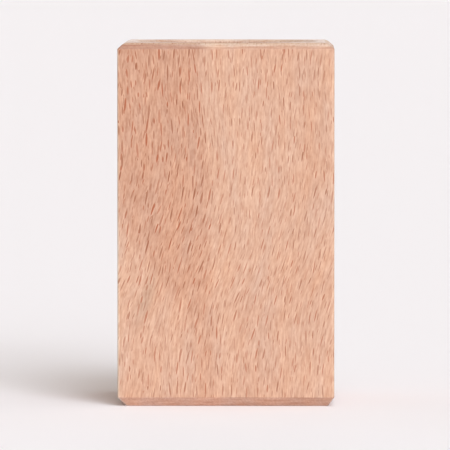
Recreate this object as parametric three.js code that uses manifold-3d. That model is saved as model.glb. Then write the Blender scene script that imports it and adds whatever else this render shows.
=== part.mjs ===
// Pen holder cup: a square beech block with a round well for pens.
// The block is glued up from an outer board at the front, one at the back, and a core
// between them. The well is bored right through, which leaves the core as two staves,
// and a turned plug glued into the lower end of the bore makes the floor of the cup.
// Millimetres, +Z up, front towards -Y. The origin is the centre of the underside.

import * as THREE from "three";
import { mergeVertices } from "three/addons/utils/BufferGeometryUtils.js";
import Module from "manifold-3d";

// Block
const WIDTH = 60; // outside, along X and along Y
const HEIGHT = 100.6;
const TOP_BEVEL = 1.75; // 45 degree bevel round the rim
const FOOT_BEVEL = 2.5; // 45 degree bevel round the foot
const CORNER_RADIUS = 0.6; // upright edges, eased with abrasive
const CORNER_SEGMENTS = 4; // per upright edge

// Well
const BORE_RADIUS = 25;
const BORE_SEGMENTS = 96;
const MOUTH_EASING = 0.6; // small 45 degree bevel round the mouth of the bore
const PLUG_THICKNESS = 8;

// Glue-up
const OUTER_BOARD_THICKNESS = 20; // front board and back board
const GLUE_LINE = 0.1;

const OVERSHOOT = 5; // how far a cutting solid runs past the block

const BEECH = { color: 0xe4b499, roughness: 0.62, metalness: 0 };
const BEECH_PLUG = { color: 0xdcac92, roughness: 0.66, metalness: 0 }; // grain across the well

const wasm = await Module();
wasm.setup();

// A closed three.js geometry as a manifold-3d solid.
function solid(geometry) {
  const bare = geometry.clone();
  bare.deleteAttribute("normal");
  bare.deleteAttribute("uv");
  const merged = mergeVertices(bare);
  const mesh = new wasm.Mesh({
    numProp: 3,
    vertProperties: merged.attributes.position.array,
    triVerts: new Uint32Array(merged.index.array),
  });
  return new wasm.Manifold(mesh);
}

// A manifold-3d solid as a three.js geometry.
function geometryOf(body) {
  const mesh = body.getMesh();
  const geometry = new THREE.BufferGeometry();
  geometry.setAttribute("position", new THREE.BufferAttribute(mesh.vertProperties, 3));
  geometry.setIndex(new THREE.BufferAttribute(mesh.triVerts, 1));
  geometry.computeVertexNormals();
  return geometry;
}

// The plan of the block, a square with eased corners, extruded upwards.
function uprightPrism() {
  const side = WIDTH / 2;
  const inner = side - CORNER_RADIUS;
  const plan = new THREE.Shape();
  plan.moveTo(-inner, -side);
  plan.lineTo(inner, -side);
  plan.absarc(inner, -inner, CORNER_RADIUS, -Math.PI / 2, 0);
  plan.lineTo(side, inner);
  plan.absarc(inner, inner, CORNER_RADIUS, 0, Math.PI / 2);
  plan.lineTo(-inner, side);
  plan.absarc(-inner, inner, CORNER_RADIUS, Math.PI / 2, Math.PI);
  plan.lineTo(-side, -inner);
  plan.absarc(-inner, -inner, CORNER_RADIUS, Math.PI, 1.5 * Math.PI);
  return new THREE.ExtrudeGeometry(plan, {
    depth: HEIGHT,
    bevelEnabled: false,
    curveSegments: CORNER_SEGMENTS,
  });
}

// The elevation of the block with its top and foot bevels, as a prism lying along Y.
function elevationPrism() {
  const side = WIDTH / 2;
  const outline = new THREE.Shape();
  outline.moveTo(-side + FOOT_BEVEL, 0);
  outline.lineTo(side - FOOT_BEVEL, 0);
  outline.lineTo(side, FOOT_BEVEL);
  outline.lineTo(side, HEIGHT - TOP_BEVEL);
  outline.lineTo(side - TOP_BEVEL, HEIGHT);
  outline.lineTo(-side + TOP_BEVEL, HEIGHT);
  outline.lineTo(-side, HEIGHT - TOP_BEVEL);
  outline.lineTo(-side, FOOT_BEVEL);
  outline.closePath();
  const depth = WIDTH + 2 * OVERSHOOT;
  const prism = new THREE.ExtrudeGeometry(outline, { depth, bevelEnabled: false });
  return prism.rotateX(Math.PI / 2).translate(0, depth / 2, 0);
}

// The bore, open at both ends of the block, with its eased mouth.
function boreCutter() {
  const profile = [
    new THREE.Vector2(0, -OVERSHOOT),
    new THREE.Vector2(BORE_RADIUS, -OVERSHOOT),
    new THREE.Vector2(BORE_RADIUS, HEIGHT - MOUTH_EASING),
    new THREE.Vector2(BORE_RADIUS + MOUTH_EASING + OVERSHOOT, HEIGHT + OVERSHOOT),
    new THREE.Vector2(0, HEIGHT + OVERSHOOT),
  ];
  return new THREE.LatheGeometry(profile, BORE_SEGMENTS).rotateX(Math.PI / 2);
}

// The plug that closes the lower end of the bore, flush with the underside.
function basePlug() {
  const radius = BORE_RADIUS - GLUE_LINE;
  const plug = new THREE.CylinderGeometry(radius, radius, PLUG_THICKNESS, BORE_SEGMENTS);
  return plug.rotateX(Math.PI / 2).translate(0, 0, PLUG_THICKNESS / 2);
}

// An upright slab from (x0, y0) to (x1, y1), taller than the block.
function slab(x0, y0, x1, y1) {
  const box = new THREE.BoxGeometry(x1 - x0, y1 - y0, HEIGHT + 2 * OVERSHOOT);
  return solid(box.translate((x0 + x1) / 2, (y0 + y1) / 2, HEIGHT / 2));
}

const reach = WIDTH / 2 + OVERSHOOT;
const core = WIDTH / 2 - OUTER_BOARD_THICKNESS; // half the core's thickness
const halfLine = GLUE_LINE / 2;

const elevation = solid(elevationPrism());
const sideElevation = solid(elevationPrism().rotateZ(Math.PI / 2));
const block = solid(uprightPrism()).intersect(elevation).intersect(sideElevation);
const bored = block.subtract(solid(boreCutter()));

const boards = {
  front_board: slab(-reach, -reach, reach, -core - halfLine),
  back_board: slab(-reach, core + halfLine, reach, reach),
  left_stave: slab(-reach, -core + halfLine, 0, core - halfLine),
  right_stave: slab(0, -core + halfLine, reach, core - halfLine),
};

const cup = new THREE.Group();

function addPiece(name, geometry, finish) {
  const piece = new THREE.Mesh(geometry, new THREE.MeshStandardMaterial(finish));
  piece.name = name;
  cup.add(piece);
}

for (const [name, stock] of Object.entries(boards)) {
  addPiece(name, geometryOf(bored.intersect(stock)), BEECH);
}
addPiece("base_plug", geometryOf(solid(basePlug())), BEECH_PLUG);

export default cup;
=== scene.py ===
"""Pen holder cup: a square block of steamed beech with a round well, on a pale studio floor."""

import math
from types import SimpleNamespace

import bpy
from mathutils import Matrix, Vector


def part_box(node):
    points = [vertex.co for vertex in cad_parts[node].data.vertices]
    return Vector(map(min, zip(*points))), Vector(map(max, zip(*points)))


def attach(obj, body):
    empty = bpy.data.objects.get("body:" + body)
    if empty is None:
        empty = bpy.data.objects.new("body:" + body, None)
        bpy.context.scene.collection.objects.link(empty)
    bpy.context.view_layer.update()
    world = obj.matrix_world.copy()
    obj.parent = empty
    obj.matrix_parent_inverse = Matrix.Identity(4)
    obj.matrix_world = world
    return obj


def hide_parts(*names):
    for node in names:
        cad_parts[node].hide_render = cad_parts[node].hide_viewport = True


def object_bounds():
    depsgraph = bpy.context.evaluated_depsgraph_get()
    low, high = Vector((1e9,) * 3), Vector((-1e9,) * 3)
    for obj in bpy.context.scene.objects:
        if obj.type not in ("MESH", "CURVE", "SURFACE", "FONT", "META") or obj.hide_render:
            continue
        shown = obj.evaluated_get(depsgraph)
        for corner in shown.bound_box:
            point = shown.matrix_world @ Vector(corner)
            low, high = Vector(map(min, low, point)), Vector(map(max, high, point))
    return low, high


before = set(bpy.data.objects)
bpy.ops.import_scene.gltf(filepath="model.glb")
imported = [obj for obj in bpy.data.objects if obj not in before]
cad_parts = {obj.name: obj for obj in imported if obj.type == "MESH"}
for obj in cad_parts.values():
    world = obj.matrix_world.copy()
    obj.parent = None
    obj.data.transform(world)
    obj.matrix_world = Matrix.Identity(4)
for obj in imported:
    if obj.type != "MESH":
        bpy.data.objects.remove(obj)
CAD_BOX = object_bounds()

MM = 0.001

# ---------------------------------------------------------------- sizes, in millimetres

SIDE = CAD_BOX[1].x / MM  # half the width of the block
HEIGHT = CAD_BOX[1].z / MM
CORE = -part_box("front_board")[1].y / MM  # half the thickness of the core and its two glue lines
PLUG_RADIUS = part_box("base_plug")[1].x / MM
PLUG_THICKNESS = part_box("base_plug")[1].z / MM
GLUE_LINE = 0.1  # gap between the CAD solids
BORE_RADIUS = PLUG_RADIUS + GLUE_LINE

ARRIS_RADIUS = 0.6  # upright edges
FOOT_BEVEL = 2.5  # height of the foot bevel
TOP_BEVEL = 1.75  # height of the rim bevel
MOUTH_EASING = 0.6  # height and depth of the bevel round the mouth of the well
SOFT_EDGE = 0.45  # radius worn on to the edges of the foot bevel and the lower edge of the rim's
SOFT_RIM = 2.6  # radius where the rim bevel rolls over into the rim
SOFT_MOUTH = 0.35  # radius worn on to the edges of the mouth's bevel, as a share of its height
HAIRLINE = 0.02  # half of what shows of a glue line

# How far the two bevels cut in on each side, which hand work leaves a little uneven.
FOOT_DEPTH = {"left": 2.4, "right": 1.75, "front": 2.5, "back": 2.3}
TOP_DEPTH = {"left": 1.8, "right": 1.95, "front": 1.75, "back": 1.65}

# Faces along each stretch of a piece's outline.
WALL_STEPS = 14  # up the upright wall
FACE_STEPS = 26  # along the front or the back
FLANK_STEPS = 7  # along a board's share of a side
STAVE_STEPS = 12  # along a stave's share of a side
CORNER_STEPS = 7  # round an arris
ACROSS = 4  # through the wall, from the outside to the bore
ARC_STEPS = {"foot": 5, "rim": 6, "mouth": 4}  # round each softened edge of a bevel


# ---------------------------------------------------------------- profiles


def fillet(corners, radii, steps):
    """A polyline with each inner corner replaced by an arc, each with its own radius."""
    points = [Vector(corners[0])]
    for before, here, after, radius in zip(corners, corners[1:], corners[2:], radii):
        here = Vector(here)
        back = (Vector(before) - here).normalized()
        ahead = (Vector(after) - here).normalized()
        half = back.angle(ahead) / 2
        run = radius / math.tan(half)
        centre = here + (back + ahead).normalized() * radius / math.sin(half)
        start = here + back * run - centre
        end = here + ahead * run - centre
        turn = math.pi - 2 * half
        for k in range(steps + 1):
            a = turn * k / steps
            b = turn - a
            points.append(centre + (start * math.sin(b) + end * math.sin(a)) / math.sin(turn))
    points.append(Vector(corners[-1]))
    return points


def inset_profile():
    """(share of foot depth, share of rim depth, z) up the outside of the block."""
    softness = [SOFT_EDGE / FOOT_BEVEL] * 2
    foot = fillet([(2, 0), (1, 0), (0, 1), (0, 3)], softness, ARC_STEPS["foot"])[1:-1]
    softness = [SOFT_EDGE / TOP_BEVEL, SOFT_RIM / TOP_BEVEL]
    rim = fillet([(0, -2), (0, -1), (1, 0), (2, 0)], softness, ARC_STEPS["rim"])[1:-1]
    rows = [(p.x, 0.0, p.y * FOOT_BEVEL) for p in foot]
    rows += [(0.0, p.x, HEIGHT + p.y * TOP_BEVEL) for p in rim]
    return rows


def at_height(rows, z):
    """The row of a profile at height z, between its neighbours."""
    if z <= rows[0][-1]:
        return rows[0]
    for low, high in zip(rows, rows[1:]):
        if z <= high[-1]:
            share = (z - low[-1]) / max(high[-1] - low[-1], 1e-9)
            return tuple(a + (b - a) * share for a, b in zip(low, high))
    return rows[-1]


def mouth_profile():
    """(widening of the bore, z) up the inside of the well."""
    ease = fillet([(0, -2), (0, -1), (1, 0), (2, 0)], [SOFT_MOUTH] * 2, ARC_STEPS["mouth"])[1:-1]
    return [(0.0, 0.0)] + [(p.x * MOUTH_EASING, HEIGHT + p.y * MOUTH_EASING) for p in ease]


OUTSIDE = inset_profile()
INSIDE = mouth_profile()


def levels():
    """Every height at which a board has a ring of vertices."""
    found = {round(row[-1], 5) for row in OUTSIDE + INSIDE}
    low, high = FOOT_BEVEL + 1, HEIGHT - TOP_BEVEL - 1
    found |= {round(low + (high - low) * k / WALL_STEPS, 5) for k in range(WALL_STEPS + 1)}
    return sorted(found)


# ---------------------------------------------------------------- boards


def line(start, end, steps):
    """Evenly spaced points from start to end, given as (x, y)."""
    start, end = Vector(start), Vector(end)
    return [start.lerp(end, k / steps) for k in range(steps + 1)]


def corner(centre, start_degrees):
    """A quarter turn of the arris radius, anticlockwise."""
    steps = range(CORNER_STEPS + 1)
    turn = [math.radians(start_degrees + 90 * k / CORNER_STEPS) for k in steps]
    return [Vector(centre) + ARRIS_RADIUS * Vector((math.cos(a), math.sin(a))) for a in turn]


def outer_path(part, z):
    """The outside edge of a piece at height z, anticlockwise seen from above."""
    foot, rim, _ = at_height(OUTSIDE, z)
    inset = {side: foot * FOOT_DEPTH[side] + rim * TOP_DEPTH[side] for side in FOOT_DEPTH}
    left, right = -SIDE + inset["left"], SIDE - inset["right"]
    front, back = -SIDE + inset["front"], SIDE - inset["back"]
    glue = CORE - GLUE_LINE / 2
    r = ARRIS_RADIUS
    if part == "front_board":
        path = line((left, -glue - HAIRLINE), (left, front + r), FLANK_STEPS)[:-1]
        path += corner((left + r, front + r), 180)
        path += line((left + r, front), (right - r, front), FACE_STEPS)[1:-1]
        path += corner((right - r, front + r), 270)
        path += line((right, front + r), (right, -glue - HAIRLINE), FLANK_STEPS)[1:]
    elif part == "back_board":
        path = line((right, glue + HAIRLINE), (right, back - r), FLANK_STEPS)[:-1]
        path += corner((right - r, back - r), 0)
        path += line((right - r, back), (left + r, back), FACE_STEPS)[1:-1]
        path += corner((left + r, back - r), 90)
        path += line((left, back - r), (left, glue + HAIRLINE), FLANK_STEPS)[1:]
    elif part == "right_stave":
        path = line((right, -glue + HAIRLINE), (right, glue - HAIRLINE), STAVE_STEPS)
    else:
        path = line((left, glue - HAIRLINE), (left, -glue + HAIRLINE), STAVE_STEPS)
    return path


def inner_path(outer, z):
    """The bore's edge opposite an outside edge, with as many points."""
    radius = BORE_RADIUS + at_height(INSIDE, z)[0]
    angles = [math.atan2(p.y, p.x) for p in outer]
    for k in range(1, len(angles)):
        while angles[k] < angles[k - 1]:
            angles[k] += 2 * math.pi
    ends = []
    for p in (outer[0], outer[-1]):
        across = math.asin(p.y / radius)
        ends.append(across if p.x > 0 else math.pi - across)
    while ends[1] < ends[0]:
        ends[1] += 2 * math.pi
    scale = (ends[1] - ends[0]) / (angles[-1] - angles[0])
    turned = [ends[0] + (a - angles[0]) * scale for a in angles]
    return [radius * Vector((math.cos(a), math.sin(a))) for a in turned]


def section(part, z):
    """Rows of points over a piece's plan at height z, from the outside to the bore."""
    outer = outer_path(part, z)
    inner = inner_path(outer, z)
    return [[o.lerp(i, v / ACROSS) for o, i in zip(outer, inner)] for v in range(ACROSS + 1)]


def board_mesh(part):
    """The vertices and faces of a board or stave: a wall of rings, closed by two caps."""
    heights = levels()
    vertices, faces = [], []

    def add(p, z):
        vertices.append((p.x * MM, p.y * MM, z * MM))
        return len(vertices) - 1

    rings, caps = [], []
    for z in heights:
        rows = section(part, z)
        last = len(rows[0]) - 1
        edge = [(0, i) for i in range(last + 1)]
        edge += [(v, last) for v in range(1, ACROSS + 1)]
        edge += [(ACROSS, i) for i in range(last - 1, -1, -1)]
        edge += [(v, 0) for v in range(ACROSS - 1, 0, -1)]
        made = {key: add(rows[key[0]][key[1]], z) for key in edge}
        rings.append([made[key] for key in edge])
        if z in (heights[0], heights[-1]):
            for v in range(ACROSS + 1):
                for i in range(last + 1):
                    if (v, i) not in made:
                        made[v, i] = add(rows[v][i], z)
            caps.append((made, last))
    for low, high in zip(rings, rings[1:]):
        for k in range(len(low)):
            n = (k + 1) % len(low)
            faces.append((low[k], low[n], high[n], high[k]))
    for (made, last), top in zip(caps, (False, True)):
        for v in range(ACROSS):
            for i in range(last):
                quad = (made[v, i], made[v, i + 1], made[v + 1, i + 1], made[v + 1, i])
                faces.append(quad if top else quad[::-1])
    return vertices, faces


# ---------------------------------------------------------------- base plug


PLUG_STEPS = 96  # round the plug
PLUG_RINGS = {"under": 8, "wall": 3, "over": 12}
PLUG_CHAMFER = 0.08  # round the lower edge
PLUG_EASING = [(0.0, 0.4), (0.1, 0.14), (0.3, 0.05), (0.6, 0.0)]  # (in from the wall, down from the top)


def plug_mesh():
    """A turned disc with a soft easing round its upper edge, in rings round a centre point."""
    r, top = BORE_RADIUS - HAIRLINE, PLUG_THICKNESS
    under, wall, over = PLUG_RINGS["under"], PLUG_RINGS["wall"], PLUG_RINGS["over"]
    profile = [(r * k / under, 0.0) for k in range(1, under)]
    profile += [(r - PLUG_CHAMFER, 0.0), (r, PLUG_CHAMFER)]
    profile += [(r, top * k / wall) for k in range(1, wall)]
    profile += [(r - inwards, top - down) for inwards, down in PLUG_EASING]
    profile += [(r * k / over, top) for k in range(over - 1, 0, -1)]
    vertices = [(0.0, 0.0, 0.0), (0.0, 0.0, top * MM)]
    for radius, z in profile:
        for k in range(PLUG_STEPS):
            a = 2 * math.pi * k / PLUG_STEPS
            vertices.append((radius * math.cos(a) * MM, radius * math.sin(a) * MM, z * MM))
    faces = []
    for row in range(len(profile) - 1):
        low, high = 2 + row * PLUG_STEPS, 2 + (row + 1) * PLUG_STEPS
        for k in range(PLUG_STEPS):
            n = (k + 1) % PLUG_STEPS
            faces.append((low + k, low + n, high + n, high + k))
    crown = 2 + (len(profile) - 1) * PLUG_STEPS
    for k in range(PLUG_STEPS):
        n = (k + 1) % PLUG_STEPS
        faces.append((0, 2 + n, 2 + k))
        faces.append((1, crown + k, crown + n))
    return vertices, faces


# ---------------------------------------------------------------- node trees


class Net:
    """A material's node tree, with short calls that add to it."""

    def __init__(self, name):
        self.material = bpy.data.materials.new(name)
        self.material.use_nodes = True
        self.tree = self.material.node_tree
        self.tree.nodes.clear()

    def node(self, kind, **settings):
        made = self.tree.nodes.new(kind)
        for key, value in settings.items():
            setattr(made, key, value)
        return made

    def feed(self, socket, value):
        if isinstance(value, bpy.types.NodeSocket):
            self.tree.links.new(value, socket)
        else:
            socket.default_value = value

    def math(self, operation, *values, clamp=False):
        made = self.node("ShaderNodeMath", operation=operation, use_clamp=clamp)
        for socket, value in zip(made.inputs, values):
            self.feed(socket, value)
        return made.outputs[0]

    def vector(self, operation, *values):
        made = self.node("ShaderNodeVectorMath", operation=operation)
        for socket, value in zip(made.inputs, values):
            self.feed(socket, value)
        return made.outputs["Value" if operation == "LENGTH" else "Vector"]

    def split(self, vector):
        made = self.node("ShaderNodeSeparateXYZ")
        self.feed(made.inputs[0], vector)
        return made.outputs[0], made.outputs[1], made.outputs[2]

    def join(self, x, y, z):
        made = self.node("ShaderNodeCombineXYZ")
        for socket, value in zip(made.inputs, (x, y, z)):
            self.feed(socket, value)
        return made.outputs[0]

    def noise(self, vector, size, detail=2.0, roughness=0.5):
        """Noise about 0.5. size is how many millimetres a blob takes along X, Y and Z."""
        made = self.node("ShaderNodeTexNoise", noise_dimensions="3D")
        self.feed(made.inputs["Vector"], self.vector("DIVIDE", vector, size))
        self.feed(made.inputs["Scale"], 1.0)
        self.feed(made.inputs["Detail"], detail)
        self.feed(made.inputs["Roughness"], roughness)
        return made.outputs["Fac"]

    def swing(self, vector, size, reach, detail=1.0):
        """Slow noise from -reach to reach, about."""
        centred = self.math("SUBTRACT", self.noise(vector, size, detail), 0.5)
        return self.math("MULTIPLY", centred, 2.0 * reach)

    def cells(self, vector, size):
        """Scattered points, one in each cell of a size: (way to the nearest, three chances of it)."""
        made = self.node("ShaderNodeTexVoronoi", voronoi_dimensions="3D", feature="F1")
        scaled = self.vector("DIVIDE", vector, size)
        self.feed(made.inputs["Vector"], scaled)
        self.feed(made.inputs["Scale"], 1.0)
        self.feed(made.inputs["Randomness"], 0.85)
        way = self.vector("SUBTRACT", scaled, made.outputs["Position"])
        return self.vector("MULTIPLY", way, size), self.split(made.outputs["Color"])

    def ramp(self, value, low, high, out_low=0.0, out_high=1.0, smooth=True):
        made = self.node("ShaderNodeMapRange", clamp=True)
        made.interpolation_type = "SMOOTHSTEP" if smooth else "LINEAR"
        for socket, v in zip(made.inputs, (value, low, high, out_low, out_high)):
            self.feed(socket, v)
        return made.outputs[0]

    def stretch(self, noise, low, high):
        """The middle half of a noise, stretched over low to high."""
        return self.ramp(noise, 0.25, 0.75, low, high, smooth=False)

    def redraw(self, chance, times):
        """A second chance from 0 to 1, drawn out of another one."""
        return self.math("FRACT", self.math("MULTIPLY", chance, times))

    def less(self, value, mask, loss):
        """value, less a share of itself where the mask is 1."""
        return self.math("MULTIPLY", value, self.math("SUBTRACT", 1.0, self.math("MULTIPLY", mask, loss)))

    def tint(self, amount, shares):
        """A colour near white: 1 + amount x share in each channel."""
        made = self.node("ShaderNodeVectorMath", operation="MULTIPLY_ADD")
        self.feed(made.inputs[0], self.join(amount, amount, amount))
        self.feed(made.inputs[1], shares)
        self.feed(made.inputs[2], (1.0, 1.0, 1.0))
        return made.outputs[0]

    def multiply(self, share, colour, by):
        """A colour, multiplied by another one to the share given."""
        return self.mix(share, colour, self.mix(1.0, colour, by, "MULTIPLY"))

    def mix(self, share, a, b, blend="MIX"):
        made = self.node("ShaderNodeMix", data_type="RGBA", blend_type=blend)
        self.feed(made.inputs[0], share)
        self.feed(made.inputs[6], a)
        self.feed(made.inputs[7], b)
        return made.outputs[2]


def rgb(r, g, b):
    return (r, g, b, 1.0)


# ---------------------------------------------------------------- beech

# Steamed beech under a clear satin oil, as linear colours.
PALE = rgb(0.487, 0.279, 0.185)
ROSY = rgb(0.429, 0.219, 0.135)
LATE = rgb(0.372, 0.187, 0.113)  # the late wood of each growth ring
RAY = rgb(0.298, 0.073, 0.020)
BROWN_RAY = rgb(0.242, 0.073, 0.024)
END = rgb(0.352, 0.186, 0.120)  # end grain

# Colours that multiply the wood's own.
SMOKE = rgb(0.84, 0.86, 0.86)
# Paler edges: partly wear, partly a painted sheen and painted reflections of the bright surroundings.
WORN_AND_SHEEN = rgb(1.22, 1.50, 1.68)
RIM_BEVEL = rgb(0.98, 0.99, 1.03)
RIM_BEVEL_ROSY = rgb(0.87, 0.86, 0.93)
# The left foot bevel is made lighter: a painted fill where it lies in shade.
FOOT_BEVEL_LEFT_PAINTED_FILL = rgb(1.06, 1.09, 1.20)
FOOT_BEVEL_RIGHT = rgb(0.98, 0.97, 1.03)
FOOT_BEVEL_ROSY = rgb(1.27, 1.30, 1.40)

# How much of a brighter streak, or of warmer wood, goes into red, green and blue.
STREAK_SHARES = (0.62, 1.0, 1.26)
WARM_SHARES = (0.15, -0.02, -0.23)

SEED_STEP = (37.1, 53.7, 91.3)  # mm through the tree from one seed to the next
RING_WIDTH = 2.6  # mm
RING_LEAN = 0.0126  # how far the rings lean out from the pith, as a slope
SLANT = 0.13  # how far a ray may lean out of the fibres, as a slope
FLANK_WIDTH = 2.3  # width of the pale wood along a ray, as a multiple of the ray's

# Each layer of rays: the cell that holds one, in mm round the ring, out from the pith and up the
# grain; the least and greatest half width and half height of a ray; its half depth; and how
# strongly the faintest and the plainest of them show.
RAY_LAYERS = [
    {
        "cell": (2.1, 13.0, 4.9),
        "wide": (0.19, 0.30),
        "tall": (1.0, 2.8),
        "deep": 12.0,
        "plain": (0.40, 0.885),
    },
    {
        "cell": (1.6, 10.0, 3.4),
        "wide": (0.15, 0.24),
        "tall": (0.7, 1.8),
        "deep": 9.0,
        "plain": (0.2, 0.64),
    },
]
LAYER_STEP = (5.3, 17.9, 8.7)  # mm that each layer is moved from the one before

# Sizes of the fibres' noises, in mm round the ring, out from the pith and up the grain.
FINE_STREAKS = (0.55, 0.55, 3.2)
BROAD_STREAKS = (0.55, 0.55, 14.0)
PORES = (0.42, 0.42, 0.8)
WARM_PATCHES = (5, 5, 17)
# Sizes of the board's noises, in mm along X, Y and Z, with Z up the grain.
BEVEL_LAYERS = (9, 0.45, 30)
CLOUDS = (26, 26, 50)
SMUDGE_SIZE = (2.6, 1.0, 11.0)
NO_SMUDGE = (0.0, 500.0)  # far above the cup


def grain_frame(net, seed, pith, lean, grain):
    """The places and directions in a piece of wood that its looks are drawn from, in mm.

    x, y, z is the place and nx, ny, nz the way its face looks, with z up the grain. board is the
    place in the tree. around is how far it lies round the ring, radius how far from the pith, and
    fibres is the place in the tree along those two and the grain."""
    place = net.vector("SCALE", net.node("ShaderNodeTexCoord").outputs["Object"])
    place.node.inputs["Scale"].default_value = 1 / MM
    x, y, z = net.split(place)
    nx, ny, nz = net.split(net.node("ShaderNodeTexCoord").outputs["Normal"])
    if grain == "X":
        x, y, z = y, z, x
        nx, ny, nz = ny, nz, nx
    start = tuple(seed * step for step in SEED_STEP)
    board = net.vector("ADD", net.join(x, y, z), start)

    out_x = net.math("SUBTRACT", x, pith[0])
    out_y = net.math("SUBTRACT", y, pith[1])
    radius = net.vector("LENGTH", net.join(out_x, out_y, 0.0))
    facing = -1.0 if pith[1] > 0 else 1.0
    turn = net.math("ARCTAN2", out_x, net.math("MULTIPLY", out_y, facing))
    around = net.math("MULTIPLY", turn, abs(pith[1]) + SIDE)

    # Below the rim the fibres sway sideways, most at the board's face, and they wander a little.
    run, middle, half = lean
    height = net.math("DIVIDE", net.math("SUBTRACT", z, middle), half)
    depth = net.math("SUBTRACT", SIDE, net.math("ABSOLUTE", y))
    sway = net.math("SUBTRACT", net.math("TANH", height), 1.0)
    sway = net.math("MULTIPLY", sway, net.ramp(depth, 0.5, 9.0, run, 0.15 * run))
    sway = net.math("ADD", sway, run)
    around = net.math("SUBTRACT", around, sway)
    around = net.math("SUBTRACT", around, net.swing(board, (14, 14, 26), 1.5))
    fibres = net.vector("ADD", net.join(around, radius, z), start)
    return SimpleNamespace(
        x=x, y=y, z=z, nx=nx, ny=ny, nz=nz, board=board, around=around, radius=radius, fibres=fibres
    )


def late_wood(net, wood):
    """How far a place is in the late wood of its growth ring, which ends sharply."""
    ring = net.math("ADD", wood.radius, net.swing(wood.board, (24, 24, 60), 1.4, 2.0))
    ring = net.math("ADD", ring, net.math("MULTIPLY", wood.z, -RING_LEAN))
    phase = net.math("FRACT", net.math("DIVIDE", ring, RING_WIDTH))
    return net.math("MULTIPLY", net.ramp(phase, 0.35, 0.92), net.ramp(phase, 0.995, 0.92))


def ribbons(net, fibres):
    """Rays, which are thin upright ribbons that run out from the pith.

    Gives how strongly they show, how strongly the paler wood along their flanks does, and how
    brown they are."""
    rays, flanks, browns = 0.0, 0.0, 0.0
    for k, layer in enumerate(RAY_LAYERS):
        moved = net.vector("ADD", fibres, tuple(k * step for step in LAYER_STEP))
        way, chances = net.cells(moved, layer["cell"])
        across, out, up = net.split(way)
        wide = net.ramp(chances[0], 0, 1, *layer["wide"], smooth=False)
        tall = net.ramp(chances[1], 0, 1, *layer["tall"], smooth=False)
        plain = net.ramp(chances[2], 0, 1, *layer["plain"], smooth=False)
        slant = net.ramp(net.redraw(chances[0], 7.0), 0, 1, -SLANT, SLANT, smooth=False)
        brown = net.redraw(chances[1], 11.0)
        across = net.math("SUBTRACT", across, net.math("MULTIPLY", up, slant))
        across = net.math("DIVIDE", across, wide)
        out = net.math("DIVIDE", out, layer["deep"])
        up = net.math("DIVIDE", up, tall)
        from_middle = net.vector("LENGTH", net.join(across, out, up))
        ray = net.math("MULTIPLY", net.ramp(from_middle, 1.0, 0.62), plain)
        rays = net.math("MAXIMUM", rays, ray)
        browns = net.math("MAXIMUM", browns, net.math("MULTIPLY", ray, brown))
        across = net.math("DIVIDE", across, FLANK_WIDTH)
        from_middle = net.vector("LENGTH", net.join(across, out, up))
        flank = net.math("MULTIPLY", net.ramp(from_middle, 1.05, 0.5), plain)
        flanks = net.math("MAXIMUM", flanks, flank)
    flanks = net.math("SUBTRACT", flanks, rays, clamp=True)
    browns = net.math("DIVIDE", browns, net.math("MAXIMUM", rays, 0.001))
    return rays, flanks, browns


def cuts(net, wood):
    """How far a face is end grain, how far it is a bevel, and how strongly it shows the rays.

    They are dashes on the face that follows the rings, fainter flecks on the sides across the
    rings, and fine lines on the end."""
    tilt = net.math("ABSOLUTE", wood.nz)
    end_cut = net.ramp(tilt, 0.93, 0.999)
    bevel = net.math("MULTIPLY", net.ramp(tilt, 0.2, 0.6), net.ramp(tilt, 0.95, 0.75))
    side_cut = net.ramp(net.math("ABSOLUTE", wood.nx), 0.55, 1.0)
    shown = net.less(1.0, side_cut, 0.8)
    shown = net.less(shown, end_cut, 0.62)
    shown = net.less(shown, bevel, 0.85)
    return end_cut, bevel, shown


def streaks(net, wood, fine, bevel):
    """How much brighter a place is for its vessels and fibres, and on a bevel for its layers."""
    streak = net.less(net.stretch(fine, -0.24, 0.24), bevel, 0.45)
    layers = net.math("SUBTRACT", net.noise(wood.board, BEVEL_LAYERS, 1.0), 0.5)
    streak = net.math("ADD", streak, net.math("MULTIPLY", layers, net.math("MULTIPLY", bevel, 0.8)))
    broad = net.noise(wood.fibres, BROAD_STREAKS, 1.0, 0.5)
    streak = net.math("ADD", streak, net.stretch(broad, -0.07, 0.07))
    pores = net.noise(wood.fibres, PORES, 0.0)
    return net.math("ADD", streak, net.stretch(pores, -0.05, 0.05))


def rosiness(net, wood, zone):
    """How rosy a place is: a band up the board, paler towards the foot, and slow clouds."""
    edge, drift, width, widening, strength = zone
    wander = net.math("MULTIPLY", net.math("SUBTRACT", wood.z, 50), drift / 100)
    wander = net.math("ADD", wander, net.swing(wood.board, (9, 9, 30), 2.0))
    beyond = net.math("ADD", net.math("SUBTRACT", wood.x, edge), wander)
    above = net.math("MAXIMUM", net.math("SUBTRACT", wood.z, 22), 0.0)
    above = net.math("MULTIPLY", above, widening)
    before = net.math("ADD", net.math("ADD", beyond, above), width)
    rosy = net.math("MULTIPLY", net.ramp(beyond, 1.8, -2.6), net.ramp(before, -5.0, 4.0))
    up_the_board = net.ramp(wood.z, 0, 80, 0.62 * strength, strength, smooth=False)
    rosy = net.math("MULTIPLY", rosy, up_the_board)
    cloud = net.noise(wood.board, CLOUDS, 2.0, 0.5)
    return net.math("ADD", rosy, net.ramp(cloud, 0.35, 0.7, 0.0, 0.3), clamp=True)


def bevel_tint_and_fill(net, wood, rosy):
    """The colour that multiplies a bevel's: one for the rim and one for the foot, whose left part is
    lighter as a painted fill on the side in shade.
    """
    rim = net.mix(rosy, RIM_BEVEL, RIM_BEVEL_ROSY)
    # Lighter towards the left: a painted fill on the shaded side of the foot bevel.
    foot = net.mix(net.ramp(wood.x, -12, 18), FOOT_BEVEL_LEFT_PAINTED_FILL, FOOT_BEVEL_RIGHT)
    foot = net.mix(rosy, foot, FOOT_BEVEL_ROSY)
    return net.mix(net.ramp(wood.nz, -0.1, 0.1), foot, rim)


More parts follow.
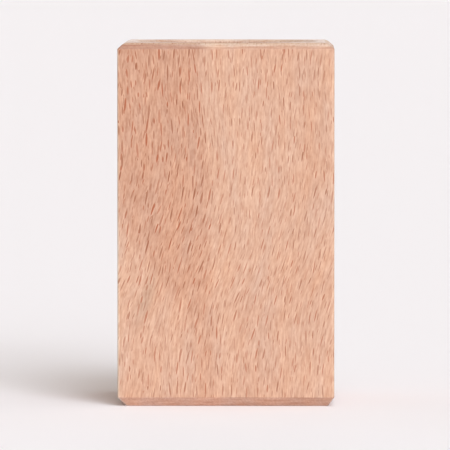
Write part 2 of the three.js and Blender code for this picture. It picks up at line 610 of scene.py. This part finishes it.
def wear_and_sheen(net, wood):
    """How pale a place is made, partly wear and partly painted light: a painted sheen on the rim's
    roll-over, cut back far left as painted shade, and painted reflections with some wear on the upright
    arrises, palest on the left ones."""
    # Far left the rim's painted sheen is narrower, which is painted shade.
    narrowing = net.ramp(wood.x, -22, -4, 0.5, 1.0)
    below = net.math("DIVIDE", net.math("SUBTRACT", HEIGHT, wood.z), narrowing)
    rim = net.math("MULTIPLY", net.ramp(below, 1.4, 0.6), net.ramp(wood.nz, 0.3, 0.6))
    rim = net.math("MULTIPLY", rim, net.ramp(wood.nz, 0.99999, 0.99))
    # Painted reflections with some wear on the upright arrises, strongest on the left.
    arris = net.ramp(net.math("ABSOLUTE", net.math("MULTIPLY", wood.nx, wood.ny)), 0.03, 0.16)
    arris = net.math("MULTIPLY", arris, net.ramp(wood.z, HEIGHT - 1.5, HEIGHT - 3.5))
    left_most = net.ramp(wood.nx, 0.3, -0.3, 0.25, 1.0)
    return net.math("MAXIMUM", rim, net.math("MULTIPLY", arris, left_most))


def smudged(net, wood, colour, smudge):
    """A colour with a smoky mark on it at (across, height)."""
    off_x = net.math("SUBTRACT", wood.around, smudge[0])
    off_z = net.math("SUBTRACT", wood.z, smudge[1])
    off = net.vector("DIVIDE", net.join(off_x, 0.0, off_z), SMUDGE_SIZE)
    return net.multiply(net.ramp(net.vector("LENGTH", off), 1.0, 0.1), colour, SMOKE)


def satin(net, colour, fine, rays, shown, end_cut):
    """The oiled surface: smoother on rays and end grain, with the rays sunk in a little."""
    shader = net.node("ShaderNodeBsdfPrincipled")
    net.feed(shader.inputs["Base Color"], colour)
    rough = net.stretch(fine, 0.52, 0.64)
    rough = net.math("SUBTRACT", rough, net.math("MULTIPLY", rays, 0.1))
    rough = net.math("SUBTRACT", rough, net.math("MULTIPLY", end_cut, 0.17))
    net.feed(shader.inputs["Roughness"], rough)
    shader.inputs["Specular IOR Level"].default_value = 0.5
    bump = net.node("ShaderNodeBump")
    bump.inputs["Strength"].default_value = 0.4
    bump.inputs["Distance"].default_value = 0.03 * MM
    dents = net.math("MULTIPLY", rays, shown)
    net.feed(bump.inputs["Height"], net.math("SUBTRACT", net.math("MULTIPLY", fine, 0.6), dents))
    net.feed(shader.inputs["Normal"], bump.outputs[0])
    net.feed(net.node("ShaderNodeOutputMaterial").inputs[0], shader.outputs[0])


def beech(name, seed, pith, lean, zone, smudge=NO_SMUDGE, grain="Z"):
    """Beech as a solid texture.

    pith is the tree's centre line, (x, y) in mm in the board's own section. lean is (sideways run,
    height, half length) of the sway in its fibres. zone is the rosy band: (its right edge at mid
    height, how far the edge moves left from foot to rim, its width near the foot, how fast it
    widens above that, how rosy it is). smudge is (across, height) of a smoky mark. grain is the
    axis that the fibres run along."""
    net = Net(name)
    wood = grain_frame(net, seed, pith, lean, grain)
    late = late_wood(net, wood)
    rays, flanks, browns = ribbons(net, wood.fibres)
    end_cut, bevel, shown = cuts(net, wood)
    fine = net.noise(wood.fibres, FINE_STREAKS, 1.0, 0.65)
    streak = streaks(net, wood, fine, bevel)
    pale_flanks = net.math("MULTIPLY", net.math("MULTIPLY", flanks, shown), 0.16)
    streak = net.math("ADD", streak, pale_flanks)

    # The rays and the streaks are plainer where the wood is rosy.
    rosy = rosiness(net, wood, zone)
    shown = net.math("MULTIPLY", shown, net.ramp(rosy, 0, 1, 0.86, 1.3, smooth=False))
    streak = net.math("MULTIPLY", streak, net.ramp(rosy, 0, 1, 0.95, 1.15, smooth=False))

    colour = net.mix(rosy, PALE, ROSY)
    colour = net.mix(net.math("MULTIPLY", late, 0.12), colour, LATE)
    warm = net.math("SUBTRACT", net.noise(wood.fibres, WARM_PATCHES, 2.0, 0.55), 0.5)
    colour = net.mix(1.0, colour, net.tint(warm, WARM_SHARES), "MULTIPLY")
    colour = smudged(net, wood, colour, smudge)
    colour = net.mix(1.0, colour, net.tint(streak, STREAK_SHARES), "MULTIPLY")
    # Bevel tints, including the painted fill on the left foot bevel.
    colour = net.multiply(bevel, colour, bevel_tint_and_fill(net, wood, rosy))
    # Paler rim roll-over and arrises: partly wear, partly a painted sheen and painted reflections.
    colour = net.multiply(wear_and_sheen(net, wood), colour, WORN_AND_SHEEN)
    colour = net.mix(net.math("MULTIPLY", end_cut, 0.6), colour, END)
    colour = net.mix(net.math("MULTIPLY", net.math("MULTIPLY", late, end_cut), 0.16), colour, RAY)
    ray_colour = net.mix(net.ramp(browns, 0.2, 0.8), RAY, BROWN_RAY)
    colour = net.mix(net.math("MULTIPLY", rays, shown), colour, ray_colour)
    satin(net, colour, fine, rays, shown, end_cut)
    return net.material


# ---------------------------------------------------------------- pieces


SHARP_EDGE = 40  # degrees between two faces from which the edge between them stays sharp


def piece(name, shape, material):
    """A smooth-shaded object from (vertices, faces), whose flat faces stay flat."""
    vertices, faces = shape
    mesh = bpy.data.meshes.new(name)
    mesh.from_pydata(vertices, [], faces)
    mesh.validate()
    mesh.materials.append(material)
    for face in mesh.polygons:
        face.use_smooth = True
    made = bpy.data.objects.new(name, mesh)
    bpy.context.scene.collection.objects.link(made)
    mesh.set_sharp_from_angle(angle=math.radians(SHARP_EDGE))
    weigh = made.modifiers.new("weighted_normals", "WEIGHTED_NORMAL")
    weigh.weight = 80
    weigh.keep_sharp = True
    return made


# Both staves are what the bore leaves of one core board.
CORE_WOOD = dict(seed=3.7, pith=(-18.0, 75.0), lean=(1.5, 40.0, 30.0), zone=(0.0, 0.0, 60.0, 0.0, 0.3))
WOODS = {
    "front_board": dict(
        seed=1.0,
        pith=(12.0, 50.0),
        lean=(5.8, 37.0, 21.0),
        zone=(-4.3, 5.4, 5.0, 0.7, 1.0),
        smudge=(-30.6, 30.0),
    ),
    "back_board": dict(
        seed=2.3,
        pith=(-9.0, -64.0),
        lean=(-2.5, 60.0, 28.0),
        zone=(-16.0, -6.0, 9.0, 0.2, 0.5),
    ),
    "left_stave": CORE_WOOD,
    "right_stave": CORE_WOOD,
    "base_plug": dict(
        seed=5.2,
        pith=(14.0, -40.0),
        lean=(0.8, 0.0, 20.0),
        zone=(-8.0, 8.0, 30.0, 0.0, 0.5),
        grain="X",
    ),
}

for node, wood in WOODS.items():
    shape = plug_mesh() if node == "base_plug" else board_mesh(node)
    made = piece(node + "_beech", shape, beech(node + "_wood", **wood))
    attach(made, "root")
    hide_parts(node)


# ---------------------------------------------------------------- studio


FLOOR_REACH = 30.0  # metres from the cup to each side of the floor
PAPER = rgb(0.893, 0.866, 0.892)
SKY = rgb(0.446, 0.400, 0.352)
HAZE = rgb(0.908, 0.872, 0.882)  # seen past the far end of the floor, and close to its colour

WHITE = (1.0, 1.0, 1.0)
DAYLIGHT = (0.94, 1.0, 1.055)
# Each lamp: degrees round from the front towards the right, degrees up, degrees that it spans, how
# bright it makes a white face that it hits squarely, and its colour. The low ones behind the cup
# give its top face a gloss.
LAMPS = {
    "key_12": (20, 12, 30, 0.695, DAYLIGHT),
    "key_32": (20, 32, 30, 0.239, DAYLIGHT),
    "key_52": (20, 52, 30, 0.288, DAYLIGHT),
    "overhead": (75, 75, 30, 0.072, DAYLIGHT),
    "backdrop": (180, 7.5, 18, 0.062, WHITE),
    "back_left": (-135, 10, 20, 0.10, WHITE),
    "back_right": (135, 10, 20, 0.09, WHITE),
}

CAMERA_PLACE = (20, -1830, 131.5)  # mm
CAMERA_AIM = (-0.24, -SIDE, 50.26)  # mm, on the front face
SENSOR = 36.0  # mm
LENS = 521.6  # mm


def floor():
    """A wide flat sheet of pale paper under the cup."""
    reach = FLOOR_REACH
    corners = [(-reach, -reach, 0), (reach, -reach, 0), (reach, reach, 0), (-reach, reach, 0)]
    mesh = bpy.data.meshes.new("studio_floor")
    mesh.from_pydata(corners, [], [(0, 1, 2, 3)])
    net = Net("studio_paper")
    shader = net.node("ShaderNodeBsdfPrincipled")
    shader.inputs["Base Color"].default_value = PAPER
    shader.inputs["Roughness"].default_value = 0.9
    shader.inputs["Specular IOR Level"].default_value = 0.1
    net.feed(net.node("ShaderNodeOutputMaterial").inputs[0], shader.outputs[0])
    mesh.materials.append(net.material)
    made = bpy.data.objects.new("studio_floor", mesh)
    bpy.context.scene.collection.objects.link(made)


def lamp(name, azimuth, elevation, width, brightness, colour):
    """A broad soft light far away, as LAMPS describes it."""
    data = bpy.data.lights.new(name, "SUN")
    data.color = colour
    data.angle = math.radians(width)
    data.energy = brightness * math.pi
    made = bpy.data.objects.new(name, data)
    a, e = math.radians(azimuth), math.radians(elevation)
    toward = Vector((math.sin(a) * math.cos(e), -math.cos(a) * math.cos(e), math.sin(e)))
    made.rotation_euler = toward.to_track_quat("Z", "Y").to_euler()
    made.location = toward
    bpy.context.scene.collection.objects.link(made)


def sky(above, below):
    """One colour above the horizon, and one below it, where the floor is cut off far away."""
    world = bpy.data.worlds.new("studio_sky")
    world.use_nodes = True
    tree = world.node_tree
    direction = tree.nodes.new("ShaderNodeTexCoord").outputs["Generated"]
    split = tree.nodes.new("ShaderNodeSeparateXYZ")
    tree.links.new(direction, split.inputs[0])
    low = tree.nodes.new("ShaderNodeMath")
    low.operation = "LESS_THAN"
    low.inputs[1].default_value = 0.0
    tree.links.new(split.outputs["Z"], low.inputs[0])
    mix = tree.nodes.new("ShaderNodeMix")
    mix.data_type = "RGBA"
    mix.inputs[6].default_value = above
    mix.inputs[7].default_value = below
    tree.links.new(low.outputs[0], mix.inputs[0])
    tree.links.new(mix.outputs[2], tree.nodes["Background"].inputs["Color"])
    bpy.context.scene.world = world


def camera():
    """A long lens a little above the rim and to the right of the middle."""
    data = bpy.data.cameras.new("camera")
    made = bpy.data.objects.new("camera", data)
    bpy.context.scene.collection.objects.link(made)
    made.location = Vector(CAMERA_PLACE) * MM
    aim = Vector(CAMERA_AIM) * MM
    made.rotation_euler = (aim - made.location).to_track_quat("-Z", "Y").to_euler()
    data.sensor_width = SENSOR
    data.lens = LENS
    data.clip_start, data.clip_end = 0.1, 100.0
    bpy.context.scene.camera = made


floor()
sky(SKY, HAZE)
for name, settings in LAMPS.items():
    lamp(name, *settings)
camera()
bpy.context.scene.view_settings.view_transform = "Standard"

bpy.context.view_layer.update()
